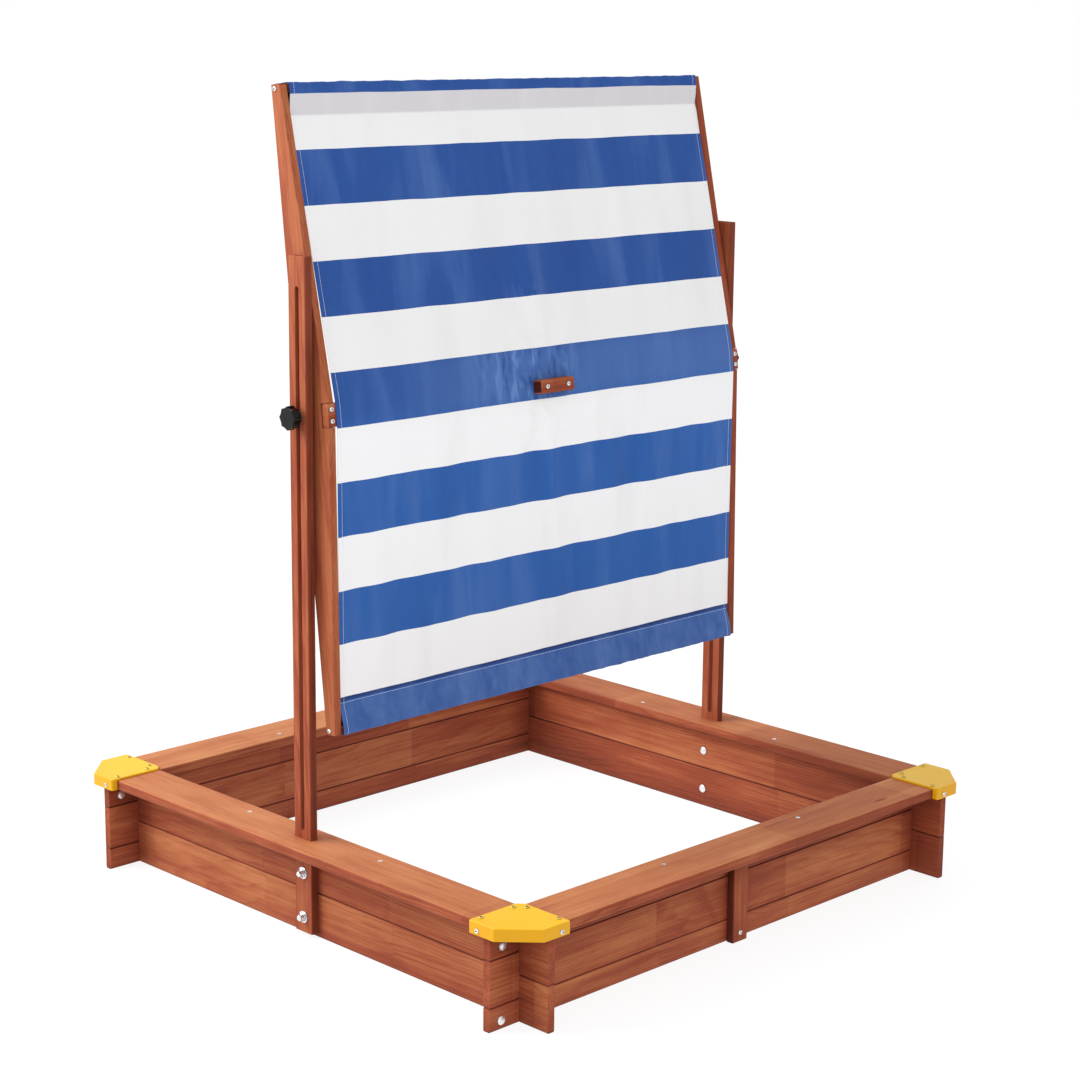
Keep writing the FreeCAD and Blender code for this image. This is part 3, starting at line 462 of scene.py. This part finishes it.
def canvas():
    """Striped woven polyester. The UV map "flat" holds the cloth's flat place in metres."""
    t = Tree("striped_canvas")
    flat = t.uv("flat")
    across, along, _ = t.split(flat)
    place = t.add(t.streaks(flat, (7, 3, 1), 2.0, 0.5), 0.004, along, middle=0.5)
    place = t.add(t.streaks(flat, (700, 260, 1), 2.0, 0.5), 0.0006, place, middle=0.5)
    stripe = t.math("DIVIDE", t.math("SUBTRACT", place, STRIPE_START * MM), 2 * STRIPE_PITCH * MM)
    blue = t.math("GREATER_THAN", t.math("FRACT", stripe), 0.5)

    # Plain weave of warp and weft, with thicker and thinner yarns.
    warp = t.math("SINE", t.math("MULTIPLY", across, 2 * math.pi / YARN_PITCH))
    weft = t.math("SINE", t.math("MULTIPLY", along, 2 * math.pi / YARN_PITCH))
    slub = t.math("ADD", t.streaks(flat, (520, 9, 1), 3.0, 0.6), t.streaks(flat, (9, 520, 1), 3.0, 0.6))
    mottle = t.streaks(flat, (90, 60, 1), 4.0, 0.65)
    cloud = t.streaks(flat, (5, 3, 1), 3.0, 0.5)
    tint = t.add(slub, 0.35, 0.5, middle=1.0)
    tint = t.add(mottle, 0.45, tint, middle=0.5)
    tint = t.add(cloud, 0.5, tint, middle=0.5)
    blue_cloth = t.ramp(tint, [(0.0, linear(33, 69, 140)), (0.5, linear(42, 80, 149)),
                               (1.0, linear(56, 94, 160))])
    white_cloth = t.ramp(tint, [(0.0, linear(227, 227, 228)), (0.5, linear(232, 232, 233)),
                                (1.0, linear(236, 236, 237))])
    # Painted light: the lower half of the cloth is painted lighter, its white brighter and its blue more
    # saturated.
    lower_half_light = t.range(along, *LOWER_HALF_ENDS, 1.0, 0.0, smooth=True)
    white_cloth = t.mix(t.math("MULTIPLY", lower_half_light, 0.6), white_cloth, linear(243, 245, 248))
    blue_cloth = t.mix(lower_half_light, blue_cloth, t.mix(0.45, blue_cloth, linear(50, 106, 182)))

    # Painted shade: the doubled upper sleeve, which lets less light through, is painted greyer. Painted
    # light and shade: the slack lower sleeve is painted with lighter and darker creases.
    upper_sleeve_shade = t.range(along, *UPPER_SLEEVE_STARTS, smooth=True)
    white_cloth = t.mix(upper_sleeve_shade, white_cloth, linear(205, 203, 207))
    sleeve_crease_shading = t.range(t.streaks(flat, (42, 22, 1), 4.0, 0.65, 0.4), 0.32, 0.70)
    in_lower_sleeve = t.range(along, *LOWER_SLEEVE_ENDS, 1.0, 0.0, smooth=True)
    sleeve_blue = t.mix(sleeve_crease_shading, linear(56, 90, 156), linear(78, 110, 170))
    blue_cloth = t.mix(in_lower_sleeve, blue_cloth, sleeve_blue)
    # Painted shade on the strip just above the lower sleeve seam.
    seam_strip_shade = t.math("MULTIPLY", t.range(along, *SEAM_SHADE[:2]),
                        t.range(along, *SEAM_SHADE[2:], 1.0, 0.0))
    blue_cloth = t.mix(seam_strip_shade, blue_cloth, linear(40, 62, 118))

    # Painted light: the blue over the ridge bar is painted paler. Painted light and shade: creases run up
    # from the clamping block in lighter and darker blue.
    off_ridge = t.math("ABSOLUTE", t.math("SUBTRACT", along, RIDGE_LIGHT_AT))
    ridge_painted_light = t.math("MULTIPLY", t.range(off_ridge, *RIDGE_LIGHT_REACH, 0.5, 0.0, smooth=True),
                      t.range(across, *RIDGE_LIGHT_SIDE, smooth=True))
    blue_cloth = t.mix(ridge_painted_light, blue_cloth, linear(88, 122, 182))
    crease = t.streaks(flat, (58, 15, 1), 4.0, 0.6, 0.7, rotation=(0, 0, 0.55))
    by_block = t.range(t.measure("DISTANCE", flat, CREASES_AT), *CREASES_REACH, 1.0, 0.0, smooth=True)
    crease_highlight = t.math("MULTIPLY", by_block, t.range(crease, 0.52, 0.66, 0.0, 0.65))
    crease_shade = t.math("MULTIPLY", by_block, t.range(crease, 0.34, 0.47, 0.75, 0.0))
    blue_cloth = t.mix(crease_highlight, blue_cloth, linear(112, 144, 202))
    blue_cloth = t.mix(crease_shade, blue_cloth, linear(28, 60, 130))

    # Painted light and shade: long soft folds are painted as lighter and darker bands.
    fold_shading = t.streaks(flat, (11, 1.8, 1), 3.0, 0.55, 0.3)
    blue_cloth = t.mix(t.range(fold_shading, 0.5, 0.72, 0.0, 0.30), blue_cloth, linear(104, 136, 194))
    blue_cloth = t.mix(t.range(fold_shading, 0.28, 0.46, 0.25, 0.0), blue_cloth, linear(30, 58, 122))
    white_cloth = t.mix(t.range(fold_shading, 0.30, 0.5, 0.35, 0.0), white_cloth, linear(222, 222, 224))
    height = t.add(t.math("MULTIPLY", warp, weft), 0.35, slub)
    t.set(base_color=t.mix(blue, white_cloth, blue_cloth),
          roughness=t.range(mottle, 0.3, 0.7, 0.68, 0.84), specular=0.12,
          sheen=0.04, sheen_roughness=0.5, normal=t.bump(height, 0.15, 0.2 * MM))
    return t.material


# ---- finishes of the CAD nodes ----
# Grain direction, how much lighter the board is than plain wood, and the axis across its arrises with
# painted shade.
# A board's place in this table also picks its grain.
WOODS = {
    "front_board_lower": ("x", 0.16, "z"), "front_board_upper": ("x", 0.02, "z"),
    "back_board_lower": ("x", -0.05, "z"), "back_board_upper": ("x", -0.02, "z"),
    "left_board_bottom": ("y", 0.08, "z"), "left_board_middle": ("y", 0.04, "z"),
    "left_board_top": ("y", 0.03, "z"), "right_board_bottom": ("y", 0.10, "z"),
    "right_board_middle": ("y", 0.06, "z"), "right_board_top": ("y", 0.02, "z"),
    "seat_front": ("x", 0.25, "y"), "seat_back": ("x", 0.18, "y"),
    "seat_left": ("y", 0.29, "x"), "seat_right": ("y", 0.22, "x"),
    "side_batten_left": ("z", 0.0, "y"), "side_batten_right": ("z", 0.04, "y"),
    "post_front": ("z", 0.01, "x"), "post_back": ("z", -0.08, "x"),
    "canopy_gable_front": ("u", 0.0, "z"), "canopy_gable_back": ("u", -0.06, "z"),
    "ridge_bar": ("y", 0.12, "x"), "end_bar_lower": ("y", 0.0, "x"), "end_bar_upper": ("y", -0.1, "x"),
    "ridge_block": ("y", 0.12, "x"),
}
END_TONES = {"ridge_block": -0.75, "ridge_bar": 0.0}
ONE_PIECE_RAILS = ("canopy_gable", "post")


def finish_nodes():
    """Gives every CAD node its procedural material."""
    finishes = {}
    for seed, (name, (axis, tone, seam_axis)) in enumerate(WOODS.items(), start=1):
        low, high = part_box(name)
        size = [b - a for a, b in zip(low, high)]
        end_tone = END_TONES.get(name, END_TONE)
        jointed = not name.startswith(ONE_PIECE_RAILS)
        finishes[name] = wood("wood_" + name, axis, seed, tone, size, seam_axis, end_tone, jointed)
    plastic, knob, spacer = yellow_plastic(), knob_plastic(), nylon()
    zinc = metal("zinc_steel", linear(240, 241, 244), linear(218, 220, 225))
    satin = metal("satin_steel", linear(246, 246, 248), linear(228, 229, 232), (0.34, 0.5))
    tinted = metal("tinted_steel", linear(214, 190, 104), linear(196, 172, 96), (0.34, 0.5))
    brass = metal("insert_brass", linear(212, 176, 96), linear(190, 150, 78))
    # The first matching start of a name decides.
    by_start = [("corner_cap", plastic), ("cap_top_screws", tinted), ("post_bolts", satin),
                ("corner_bolts", satin), ("corner_washers", satin), ("seat_screws", satin),
                ("knob_insert", brass), ("knob", knob), ("pivot_spacers", spacer), ("", zinc)]
    for name, node in nodes.items():
        finish = finishes.get(name) or next(f for start, f in by_start if name.startswith(start))
        node.data.materials.clear()
        node.data.materials.append(finish)


def add_piece(name, verts, faces, material, soft=True):
    """Links a new mesh object, shaded smooth when soft."""
    mesh = bpy.data.meshes.new(name)
    mesh.from_pydata(verts, [], faces)
    mesh.polygons.foreach_set("use_smooth", [soft] * len(mesh.polygons))
    mesh.materials.append(material)
    piece = bpy.data.objects.new(name, mesh)
    bpy.context.scene.collection.objects.link(piece)
    return piece


# ---- canopy cloth, in millimetres until canopy_point ----
CORNER_STEPS = 5
PATH_STEP = 6.0
COLUMN_COUNT = 196
HEM_STEP = 0.35

FOLD_LONG = 138
FOLD_SHORT = 87
FOLD_LOWER, FOLD_UPPER = 4.0, 2.0
SOFT_WAVE = 2.2
FAN_RAYS = 11
FAN_LOWER, FAN_UPPER = 2.2, 3.0
PINCH = 5.0
HEM_STIFFNESS = 0.55
SLEEVE_PUFF = 0.5
SLEEVE_SINK = -0.2


def canopy_point(u, y, v):
    """A point of the canopy in the row frame, in metres."""
    x, z = v - PIVOT_V, u - PIVOT_U
    turned_x = x * math.cos(TILT) - z * math.sin(TILT)
    turned_z = x * math.sin(TILT) + z * math.cos(TILT)
    return Vector((turned_x, y, PIVOT_Z + turned_z)) * MM


def smooth(value, low, high):
    """0 below low, 1 above high and an eased step between."""
    share = min(1.0, max(0.0, (value - low) / (high - low)))
    return share * share * (3 - 2 * share)


def corner(points, before, at, after, radius):
    """Adds a rounded corner to a path."""
    at = Vector(at)
    start = at + (Vector(before) - at).normalized() * radius
    end = at + (Vector(after) - at).normalized() * radius
    for step in range(CORNER_STEPS + 1):
        share = step / CORNER_STEPS
        points.append(start.lerp(at, share).lerp(at.lerp(end, share), share))


def half_profile():
    """The cloth's (u, v) path from its hem inside the lower sleeve to the middle of the ridge."""
    low, high = END_BAR_V[0] - FABRIC_GAP, END_BAR_V[1] + FABRIC_GAP
    ridge = RIDGE_TOP_V + FABRIC_GAP
    # u, v and rounding of each bend.
    bends = [
        (SEAM_U + 5, SEAM_V - 0.6, 0), (SEAM_U - 3, SEAM_V - 1.2, 2.0), (END_BAR_T + 0.5, low, 3.0),
        (-FABRIC_GAP, low, 3.0), (-FABRIC_GAP, high, 3.0), (END_BAR_T + 1.0, high, 5.0),
        (SEAM_U - 1.5, SEAM_V, 2.5), (SEAM_U + 3, SEAM_V + 0.8, 2.0),
        (STRIPE_START + 1.5, SEAM_V + 2.6, 4.0), (PIVOT_U - RIDGE_HALF - 1, ridge, 6.0),
        (PIVOT_U, ridge, 0),
    ]
    path = []
    for number, (u, v, radius) in enumerate(bends):
        if radius:
            corner(path, bends[number - 1][:2], (u, v), bends[number + 1][:2], radius)
        else:
            path.append(Vector((u, v)))
    return path


def spaced(path, step):
    """The path with extra points, so that none is further than step from the next."""
    out = [path[0]]
    for a, b in zip(path, path[1:]):
        count = max(1, math.ceil((b - a).length / step))
        out += [a.lerp(b, n / count) for n in range(1, count + 1)]
    return out


def stripe_place(path):
    """Each path point's place along the cloth: u on the front, run on by arc length elsewhere."""
    front = next(n for n, p in enumerate(path) if p.y > END_BAR_V[1] and p.x > END_BAR_T - 2)
    place = [p.x for p in path]
    for n in range(front - 1, -1, -1):
        place[n] = place[n + 1] - (path[n + 1] - path[n]).length
    return place


def cloth_path():
    """(point, place along the cloth) from hem to hem, round both end bars and over the ridge."""
    half = spaced(half_profile(), PATH_STEP)
    lower = list(zip(half, stripe_place(half)))
    upper = [(Vector((GABLE_LENGTH - p.x, p.y)), GABLE_LENGTH - s) for p, s in reversed(lower[:-1])]
    return lower + upper


def outward_along(path):
    """The unit vector out of the cloth at each path point."""
    outward = []
    for n in range(len(path)):
        a, b = path[max(0, n - 1)][0], path[min(len(path) - 1, n + 1)][0]
        along = (b - a).normalized()
        outward.append(Vector((-along.y, along.x)))
    return outward


def cloth_columns():
    """Places across the cloth, closer together at the side hems and their stitch lines."""
    edge = FABRIC_HALF_W
    columns = [-edge, -edge + 0.6, -edge + STITCH_IN - 0.7, -edge + STITCH_IN + 0.7,
               -edge + HEM_W, -edge + HEM_W + 0.8]
    inner = edge - HEM_W - 0.8
    columns += [-inner + 2 * inner * n / COLUMN_COUNT for n in range(1, COLUMN_COUNT)]
    columns += [-c for c in reversed(columns[:6])]
    return columns


def wave(y, u):
    """How far the cloth stands out of its plane."""
    from_ridge = abs(u - PIVOT_U)
    ridge_hold = smooth(from_ridge, RIDGE_HALF, RIDGE_HALF + 110)
    seam_hold = smooth(min(u, GABLE_LENGTH - u), SEAM_U + 4, SEAM_U + 70)
    lower = u < PIVOT_U
    size = FOLD_LOWER if lower else FOLD_UPPER
    drift = 14 * noise.noise(Vector((u * 0.004, 3.7, 0.0)))
    uneven = 0.75 + 0.5 * noise.noise(Vector((y * 0.006, u * 0.004, 1)))
    folds = math.sin((y + drift + 31) * 2 * math.pi / FOLD_LONG) * uneven
    folds += 0.55 * math.sin((y - 1.3 * drift + 80) * 2 * math.pi / FOLD_SHORT + u * 0.004)
    soft = SOFT_WAVE * noise.noise(Vector((y * 0.009, u * 0.0022, 5.0 if lower else 9.0)))
    out = (size * 0.6 * folds + soft) * seam_hold * ridge_hold

    # Pull folds fan out from the clamping block in the middle of the ridge.
    reach = math.hypot(y, from_ridge)
    angle = math.atan2(y, from_ridge)
    bend = noise.noise(Vector((angle * 1.4, 0.0, 2.0 if lower else 4.0)))
    fan = math.cos(angle * FAN_RAYS + 0.6 + 1.5 * bend)
    fan *= smooth(reach, 30, 110) * (1 - smooth(reach, 150, 430)) * math.cos(angle) ** 2
    out += (FAN_LOWER if lower else FAN_UPPER) * fan * smooth(from_ridge, RIDGE_HALF, RIDGE_HALF + 60)

    coarse = noise.noise(Vector((y * 0.045, u * 0.05, 23.0)))
    pinch = coarse + 0.6 * noise.noise(Vector((y * 0.1, u * 0.09, 29.0)))
    near_block = 1 - smooth(reach, 40, 150)
    out += PINCH * pinch * near_block * smooth(from_ridge, RIDGE_HALF, RIDGE_HALF + 16)

    # The doubled side hems are stiffer, so the waves fade towards them.
    return out * (1 - HEM_STIFFNESS * smooth(abs(y), 440, 500))


def crumple(y, s):
    """Small creases of the loosely filled sleeves."""
    a = noise.noise(Vector((y * 0.030, s * 0.05, 11.0)))
    b = noise.noise(Vector((y * 0.075, s * 0.09, 17.0)))
    return 1.3 * a + 0.8 * b


def cloth():
    """The whole cover as one sheet, wound round both end bars."""
    path, columns = cloth_path(), cloth_columns()
    outward = outward_along(path)
    front = [n for n, (p, _) in enumerate(path)
             if p.y > SEAM_V - 0.2 and p.x > -0.5 and p.x < GABLE_LENGTH + 0.5]
    grid, verts, flats = [], [], []
    for n, (p, s) in enumerate(path):
        row = []
        from_end = min(p.x, GABLE_LENGTH - p.x)
        on_panel = from_end > SEAM_U and front[0] <= n <= front[-1]
        for y in columns:
            push = 0.0
            if on_panel:
                push = wave(y, p.x)
            elif from_end <= SEAM_U:
                puff = max(SLEEVE_SINK, SLEEVE_PUFF + crumple(y, s))
                push = puff * smooth(SEAM_U - from_end, 0, 12)
            if abs(y) > FABRIC_HALF_W - HEM_W:
                push += HEM_STEP
            point = Vector((p.x, p.y)) + outward[n] * push
            row.append(len(verts))
            verts.append(canopy_point(point.x, y, point.y))
            flats.append((y * MM, s * MM))
        grid.append(row)
    faces = []
    for low, high in zip(grid, grid[1:]):
        faces += zip(low, low[1:], high[1:], high)

    piece = add_piece("canopy_cloth", verts, faces, canvas())
    layer = piece.data.uv_layers.new(name="flat")
    for loop in piece.data.loops:
        layer.data[loop.index].uv = flats[loop.vertex_index]
    solid = piece.modifiers.new("thickness", "SOLIDIFY")
    solid.thickness = FABRIC_T * MM
    solid.offset = 0.0
    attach(piece, "canopy")
    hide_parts("canopy_fabric")

    stitches = stitching(path, columns, verts, grid)


# ---- stitching, in metres ----
STITCH_LENGTH = 2.8 * MM
STITCH_GAP = 0.9 * MM
STITCH_MARGINS = (2 * MM, 1 * MM)
STITCH_R = 0.38 * MM
STITCH_SIDES = 5
# Share of the stitch's length and share of its full width; its ends dive into the cloth.
STITCH_RINGS = [(0.0, 0.0), (0.18, 1.0), (0.82, 1.0), (1.0, 0.0)]
STITCH_LIFT = FABRIC_T / 2 * MM + 0.05 * MM


def add_stitch(verts, faces, a, b, normal):
    """One stitch as a low bead from a to b."""
    along = (b - a).normalized()
    side = along.cross(normal).normalized()
    base = len(verts)
    for share, width in STITCH_RINGS:
        centre = a.lerp(b, share) + normal * (STITCH_R * (0.9 * width - 0.5))
        if width == 0.0:
            verts.append(centre)
            continue
        for k in range(STITCH_SIDES):
            angle = 2 * math.pi * k / STITCH_SIDES
            verts.append(centre + (side * math.cos(angle) + normal * math.sin(angle)) * STITCH_R)
    first, second = base + 1, base + 1 + STITCH_SIDES
    for k in range(STITCH_SIDES):
        m = (k + 1) % STITCH_SIDES
        faces.append((base, first + m, first + k))
        faces.append((first + k, first + m, second + m, second + k))
        faces.append((second + k, second + m, second + STITCH_SIDES))


def stitch_line(verts, faces, line, lifts):
    """Stitches along a line of (point, outward normal) pairs, once at each height over the cloth."""
    lengths = [0.0]
    for (a, _), (b, _) in zip(line, line[1:]):
        lengths.append(lengths[-1] + (b - a).length)
    cursor = 0

    def at(distance):
        nonlocal cursor
        while cursor < len(lengths) - 2 and lengths[cursor + 1] < distance:
            cursor += 1
        share = (distance - lengths[cursor]) / max(1e-9, lengths[cursor + 1] - lengths[cursor])
        a, b = line[cursor], line[cursor + 1]
        return a[0].lerp(b[0], share), a[1].lerp(b[1], share).normalized()

    distance, margin = STITCH_MARGINS
    while distance + STITCH_LENGTH < lengths[-1] - margin:
        p, normal = at(distance)
        q, _ = at(distance + STITCH_LENGTH)
        for lift in lifts:
            out = normal if lift > 0 else -normal
            add_stitch(verts, faces, p + normal * lift, q + normal * lift, out)
        distance += STITCH_LENGTH + STITCH_GAP


def stitching(path, columns, verts, grid):
    """White lock stitches along both side hems and both sleeve seams, on both faces of the cloth."""
    out_verts, out_faces = [], []

    def normal_at(row, column):
        r0, r1 = max(0, row - 1), min(len(grid) - 1, row + 1)
        c0, c1 = max(0, column - 1), min(len(columns) - 1, column + 1)
        du = verts[grid[r1][column]] - verts[grid[r0][column]]
        dy = verts[grid[row][c1]] - verts[grid[row][c0]]
        return dy.cross(du).normalized()

    # Side hems, between the two columns on either side of each stitch line.
    for column in (2, len(columns) - 4):
        line = []
        for row in range(len(grid)):
            a, b = verts[grid[row][column]], verts[grid[row][column + 1]]
            line.append(((a + b) / 2, normal_at(row, column)))
        stitch_line(out_verts, out_faces, line, (STITCH_LIFT, -STITCH_LIFT))
    # Sleeve seams on the front of the cloth, then the same seams from behind, on the hem's own layer.
    rows = [n for n, (p, _) in enumerate(path) if p.y > SEAM_V - 0.3]
    low_row = min(rows, key=lambda n: abs(path[n][0].x - SEAM_U - 1))
    high_row = min(rows, key=lambda n: abs(path[n][0].x - (GABLE_LENGTH - SEAM_U - 1)))
    for row, face in ((low_row, 1), (high_row, 1), (1, -1), (len(grid) - 2, -1)):
        line = [(verts[grid[row][c]], face * normal_at(row, c)) for c in range(len(columns))]
        stitch_line(out_verts, out_faces, line, (STITCH_LIFT,))

    piece = add_piece("canopy_stitching", out_verts, out_faces, thread())
    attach(piece, "canopy")
    return piece


# ---- studio, in metres and watts ----
SKY_TOWARD = (-0.707, 0.707, 0.0)
SKY_FADE = (0.1, 0.7, 0.72, 1.0)
SOFTBOXES = {
    "key": {"at": (-2.5, -3.0, 3.0), "look_at": (0, 0, 0.5), "size": 3.0, "power": 222},
    "fill": {"at": (3.4, -1.6, 3.2), "look_at": (0, 0, 0.6), "size": 1.8, "power": 42},
}
FLOOR_HALF = 30.0
FLOOR_Z = -0.0005
FLOOR_GLOW = 0.88


def add_camera():
    az, el, roll = (math.radians(a) for a in (CAMERA_AZIMUTH, CAMERA_ELEVATION, CAMERA_ROLL))
    back = Vector((math.sin(az) * math.cos(el), -math.cos(az) * math.cos(el), math.sin(el)))
    right = Vector((math.cos(az), math.sin(az), 0))
    up = back.cross(right)
    rolled_right = right * math.cos(roll) + up * math.sin(roll)
    rolled_up = up * math.cos(roll) - right * math.sin(roll)
    camera = bpy.data.objects.new("camera", bpy.data.cameras.new("camera"))
    camera.data.lens = CAMERA_LENS
    camera.data.sensor_width = CAMERA_SENSOR
    camera.data.clip_start, camera.data.clip_end = CAMERA_CLIP
    rotation = Matrix((rolled_right, rolled_up, back)).transposed()
    camera.matrix_world = Matrix.Translation(CAMERA_AT) @ rotation.to_4x4()
    bpy.context.scene.collection.objects.link(camera)
    bpy.context.scene.camera = camera


def add_softbox(name, at, look_at, size, power):
    light = bpy.data.objects.new(name, bpy.data.lights.new(name, "AREA"))
    light.data.shape = "RECTANGLE"
    light.data.size = light.data.size_y = size
    light.data.energy = power
    light.location = at
    light.rotation_mode = "QUATERNION"
    light.rotation_quaternion = (Vector(look_at) - Vector(at)).to_track_quat("-Z", "Y")
    bpy.context.scene.collection.objects.link(light)


def add_sky():
    """A white sky, a little darker away from SKY_TOWARD."""
    world = bpy.data.worlds.new("studio")
    world.use_nodes = True
    tree, background = world.node_tree, world.node_tree.nodes["Background"]
    direction = tree.nodes.new("ShaderNodeTexCoord").outputs["Generated"]
    toward = tree.nodes.new("ShaderNodeVectorMath")
    toward.operation = "DOT_PRODUCT"
    toward.inputs[1].default_value = SKY_TOWARD
    fade = tree.nodes.new("ShaderNodeMapRange")
    for socket, number in zip(fade.inputs[1:5], SKY_FADE):
        socket.default_value = number
    tree.links.new(direction, toward.inputs[0])
    tree.links.new(toward.outputs["Value"], fade.inputs[0])
    tree.links.new(fade.outputs[0], background.inputs["Strength"])
    background.inputs["Color"].default_value = grey(1.0)
    bpy.context.scene.world = world


def add_floor():
    t = Tree("studio_floor")
    cloud = t.noise(t.coords(), 0.6, 3.0, 0.5)
    t.set(base_color=t.mix(cloud, grey(0.13), grey(0.15)), roughness=t.range(cloud, 0.3, 0.7, 0.7, 0.8),
          specular=0.1, emission=grey(1.0), emission_strength=FLOOR_GLOW)
    corners = [(x * FLOOR_HALF, y * FLOOR_HALF, 0) for x, y in ((-1, -1), (1, -1), (1, 1), (-1, 1))]
    floor = add_piece("studio_floor", corners, [(0, 1, 2, 3)], t.material, soft=False)
    floor.location.z = FLOOR_Z


add_camera()
add_sky()
for softbox_name, softbox in SOFTBOXES.items():
    add_softbox(softbox_name, **softbox)
add_floor()
bpy.context.scene.view_settings.view_transform = "Standard"
finish_nodes()
cloth()
